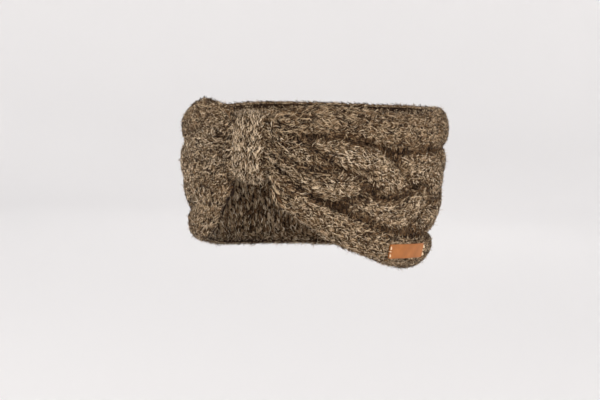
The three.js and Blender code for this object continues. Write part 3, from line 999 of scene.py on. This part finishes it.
def grow_fibres(name, legs, count, stray_share=0.07):
    weight = 0.25 + 0.75 * legs["open"]
    pick = chance.choice(len(weight), count, p=weight / weight.sum())
    leg = {key: legs[key][pick] for key in legs}
    x = chance.uniform(-0.85, 0.85, count)
    around = np.clip(chance.normal(0, 0.5, count), -1.2, 1.2)
    out = leg["out"] * np.cos(around)[:, None] + leg["across"] * np.sin(around)[:, None]
    body = np.clip(1 - x**2, 0.05, 1) ** 0.34
    dip = LEG_DIP * (x + 0.2) ** 2
    root = (
        leg["middle"]
        + leg["along"] * (x * leg["half"])[:, None]
        + leg["across"] * (leg["radius"] * np.sin(around) * body)[:, None]
        + leg["out"] * (0.95 * YARN_RADIUS * np.cos(around) * body - dip)[:, None]
    )
    stray = chance.random(count) < stray_share
    heading = chance.normal(0, math.radians(17), count) + np.pi * (chance.random(count) < 0.5)
    heading = np.where(stray, chance.uniform(-np.pi, np.pi, count), heading)
    sideways = np.cross(out, leg["along"])
    forward = leg["along"] * np.cos(heading)[:, None] + sideways * np.sin(heading)[:, None]
    forward = unit(forward - out * np.sum(forward * out, axis=-1, keepdims=True))
    lift = np.abs(chance.normal(0, math.radians(6), count)) + math.radians(2)
    lift = np.where(stray, chance.uniform(math.radians(12), math.radians(50), count), lift)
    length = chance.uniform(2.0, 5.0, count)
    bow = chance.normal(0, 0.12, count) * length
    beside = np.cross(out, forward)
    middle = (
        root
        + forward * (0.5 * length * np.cos(lift))[:, None]
        + out * (0.5 * length * np.sin(lift) + 0.18)[:, None]
        + beside * bow[:, None]
    )
    end_lift = np.where(stray, 0.9, 0.5) * length * np.sin(lift)
    tip = root + forward * (length * np.cos(lift))[:, None] + out * end_lift[:, None]
    half = 0.5 * FIBRE_WIDTH * chance.uniform(0.6, 1.2, count) * np.where(stray, 0.6, 1.0)
    edge = beside * half[:, None]
    root = root + out * 0.05
    points = np.stack([root - edge, root + edge, middle - edge * 0.9, middle + edge * 0.9, tip], axis=1)
    # painted shade: in the creases, and on parts with a painted shade factor, more fibres are dark and all
    # are darkened
    draw = chance.random(count)
    closed = 1 - leg["open"]
    is_dark, is_pale = draw < 0.43 + 0.4 * closed, draw > 0.66 + 0.3 * closed
    tone = np.where(is_dark, chance.uniform(0, 0.14, count), chance.uniform(0.3, 0.6, count))
    tone = np.where(is_pale, chance.uniform(0.78, 1, count), tone)
    tone = np.where(stray, chance.uniform(0.45, 1.0, count), tone) * (1 - 0.45 * closed)
    mesh = joined_mesh(name, points, SLIVER_LOOPS, SLIVER_SIZES, tone)
    return add_piece(name, mesh, loose_wool)


border_fuzz = grow_fibres("border_fuzz", join_legs([upper_legs, lower_legs]), 66000)
plait_fuzz = grow_fibres("plait_fuzz", join_legs([*strand_legs, groove_legs]), 64000)
inner_fuzz = grow_fibres("inner_fuzz", inner_legs, 26000, 0.05)
wrap_fuzz = grow_fibres("wrap_fuzz", front_legs, 8500, 0.12)

# %% [markdown]
# ## The leather tag
#
# A small oblong of vegetable-tanned leather, cut out with sharp edges, left bare, and sewn on by a few
# pale stitches at each end. It starts as a block, gets its rounded corners and soft edges by bevels, is
# sliced along its length, and is then bent along the lower border.

# %% Model the tag
TAG_LENGTH = 42.5
TAG_WIDTH = 10.0
TAG_THICKNESS = 1.6
TAG_CORNER = 1.2
TAG_RIM = 0.28
TAG_ANGLE = 77.2
TAG_ABOVE_EDGE = 6.7
TAG_SLOPE = -0.05
TAG_LEAN = 1.6
TAG_CLEARANCE = 0.4
TAG_SLICES = 24

vegetable_leather, tree = new_material("vegetable_tanned_leather")
place = add_node(tree, "TexCoord")
pores = add_node(tree, "TexNoise", {"Vector": (place, "Object"), "Scale": 1400.0, "Detail": 3.0})
patches = add_node(tree, "TexNoise", {"Vector": (place, "Object"), "Scale": 110.0, "Detail": 2.0})
hide = add_ramp(tree, (patches, "Fac"), [(0.3, "#814d20"), (0.5, "#8e5524"), (0.7, "#9a602d")])
grain = add_node(tree, "Bump", {"Height": (pores, "Fac"), "Distance": 0.0001, "Strength": 0.5})
set_surface(tree, (hide, "Color"), 0.55, 0.35, IOR=1.5, Normal=(grain, "Normal"))

tag_form = bmesh.new()
block = Matrix.Diagonal((TAG_LENGTH, TAG_WIDTH, TAG_THICKNESS, 1))
bmesh.ops.create_cube(tag_form, size=1.0, matrix=block)
for is_level, offset, segments in ((False, TAG_CORNER, 4), (True, TAG_RIM, 2)):
    chosen = [e for e in tag_form.edges if (abs(e.verts[0].co.z - e.verts[1].co.z) < 1e-6) == is_level]
    rounding = {"affect": "EDGES", "segments": segments, "profile": 0.5, "material": -1}
    bmesh.ops.bevel(tag_form, geom=chosen, offset=offset, **rounding)
for number in range(1, TAG_SLICES):
    at = (number / TAG_SLICES - 0.5) * TAG_LENGTH
    bmesh.ops.bisect_plane(
        tag_form,
        geom=tag_form.verts[:] + tag_form.edges[:] + tag_form.faces[:],
        dist=1e-5,
        plane_co=(at, 0, 0),
        plane_no=(1, 0, 0),
    )


def knit_surface(angle, height):
    return head_reach(height) + thickness(angle, width_share(angle, height))


def tag_place(along, aside, above):
    """Bends a place of the flat tag along the lower border."""
    per_degree = float(np.linalg.norm(on_ring(TAG_ANGLE - 0.5, 0, 0) - on_ring(TAG_ANGLE + 0.5, 0, 0)))
    middle = edges(TAG_ANGLE)[0] + TAG_ABOVE_EDGE + TAG_WIDTH / 2
    angle = TAG_ANGLE + along / per_degree
    rows = middle + TAG_SLOPE * along + TAG_WIDTH / 2 * np.linspace(-1, 1, 5)
    reaches = knit_surface(angle + 0 * rows, rows) + TAG_CLEARANCE
    line = reaches[-1] - TAG_LEAN * (rows[-1] - rows) / TAG_WIDTH
    clear = float(np.max(reaches - line))
    height = middle + TAG_SLOPE * along + aside
    across = reaches[-1] - TAG_LEAN * (rows[-1] - height) / TAG_WIDTH
    return on_ring(angle, across + clear + TAG_THICKNESS / 2 + above, height)


for vertex in tag_form.verts:
    vertex.co = Vector(tag_place(vertex.co.x, vertex.co.y, vertex.co.z)) * MM
tag_mesh = finished_mesh(tag_form, "leather_tag_bent")
leather_tag = add_piece("leather_tag_bent", tag_mesh, vegetable_leather)
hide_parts("leather_tag")

# %% Sew the tag on
TAG_ENDS = (-1, 1)
THREAD_RADIUS = 0.35
# Rows of how far along the short edge a stitch lies, half its length, and whether it crosses the edge
END_STITCHES = [(-2.6, 1.6, False), (0.0, 0.9, True), (2.6, 1.6, False)]
linen_thread, tree = new_material("waxed_linen_thread")
set_surface(tree, linear("#d8c4a6"), 0.7, 0.3)
thread_legs = []
for end in TAG_ENDS:
    for aside, half, crosses in END_STITCHES:
        along = end * (TAG_LENGTH / 2 - 0.5)
        top = TAG_THICKNESS / 2
        middle = tag_place(along, aside, top)
        inwards = unit(tag_place(along - end, aside, top) - middle)
        higher = unit(tag_place(along, aside + 0.5, top) - middle)
        out = unit(np.cross(inwards, higher)) * end * -1
        forward = inwards if crosses else higher
        row = (middle, forward, out, half, THREAD_RADIUS, 0.5, 1.0)
        thread_legs.append(leg_record(*(np.array([value]) for value in row)))
thread_mesh = leg_copies("tag_stitches", join_legs(thread_legs))
add_piece("tag_stitches", thread_mesh, linen_thread)

# %% [markdown]
# ## The cloth
#
# The band and the wrap are sheets of knitting.

# %% [markdown]
# ## Floor and light
#
# The backdrop is a wide pale bowl, so there is no horizon in any view. Its floor lies well below the
# band, which hangs as a head would hold it. A soft lamp stands at the front left, another at the right,
# weak ones low in front and behind, and the bowl itself lights the rest.

# %% Build the studio
FLOOR_Z = -220.0
FLAT_RADIUS = 2150.0
BEND_RADIUS = 900.0
WALL_TOP = 3200.0
bowl = bmesh.new()
profile = [bowl.verts.new((0, 0, FLOOR_Z)), bowl.verts.new((FLAT_RADIUS, 0, FLOOR_Z))]
for step in range(1, 13):
    turn = math.pi / 2 * step / 12
    out = FLAT_RADIUS + BEND_RADIUS * math.sin(turn)
    profile.append(bowl.verts.new((out, 0, FLOOR_Z + BEND_RADIUS * (1 - math.cos(turn)))))
profile.append(bowl.verts.new((FLAT_RADIUS + BEND_RADIUS, 0, WALL_TOP)))
edges_of_profile = [bowl.edges.new(pair) for pair in zip(profile, profile[1:])]
spin_round(bowl, profile + edges_of_profile, 96)
bmesh.ops.remove_doubles(bowl, verts=bowl.verts, dist=0.01)
bmesh.ops.recalc_face_normals(bowl, faces=bowl.faces)
bmesh.ops.scale(bowl, vec=(MM, MM, MM), verts=bowl.verts)
bowl_mesh = finished_mesh(bowl, "studio_bowl")
bowl_mesh.shade_smooth()
matt_paint, tree = new_material("matt_white_paint")
set_surface(tree, linear("#e9e9ea"), 0.9, 0.1)
bowl_mesh.materials.append(matt_paint)
studio_bowl = add_object("studio_bowl", bowl_mesh)


def add_lamp(name, place, size, power, colour):
    """A square soft lamp that faces the ring's centre."""
    data = bpy.data.lights.new(name, "AREA")
    data.size = size
    data.energy = power
    data.color = linear(colour)[:3]
    lamp = add_object(name, data)
    lamp.location = place
    lamp.rotation_euler = (-Vector(place)).to_track_quat("-Z", "Y").to_euler()


add_lamp("key_lamp", (-1.8, -1.6, 0.45), 0.6, 44.0, "#fffaf4")
add_lamp("fill_lamp", (2.2, -0.7, 0.4), 0.6, 38.0, "#fff8f0")
add_lamp("low_lamp", (0.8, -2.1, 0.0), 0.3, 5.0, "#fff8f0")
add_lamp("back_lamp", (-0.7, 2.1, 0.8), 0.6, 4.0, "#fffaf4")
world = bpy.data.worlds.new("studio_air")
world.use_nodes = True
world.node_tree.nodes["Background"].inputs["Color"].default_value = linear("#fefdff")
world.node_tree.nodes["Background"].inputs["Strength"].default_value = 0.7
bpy.context.scene.world = world
bpy.context.scene.view_settings.view_transform = "Standard"
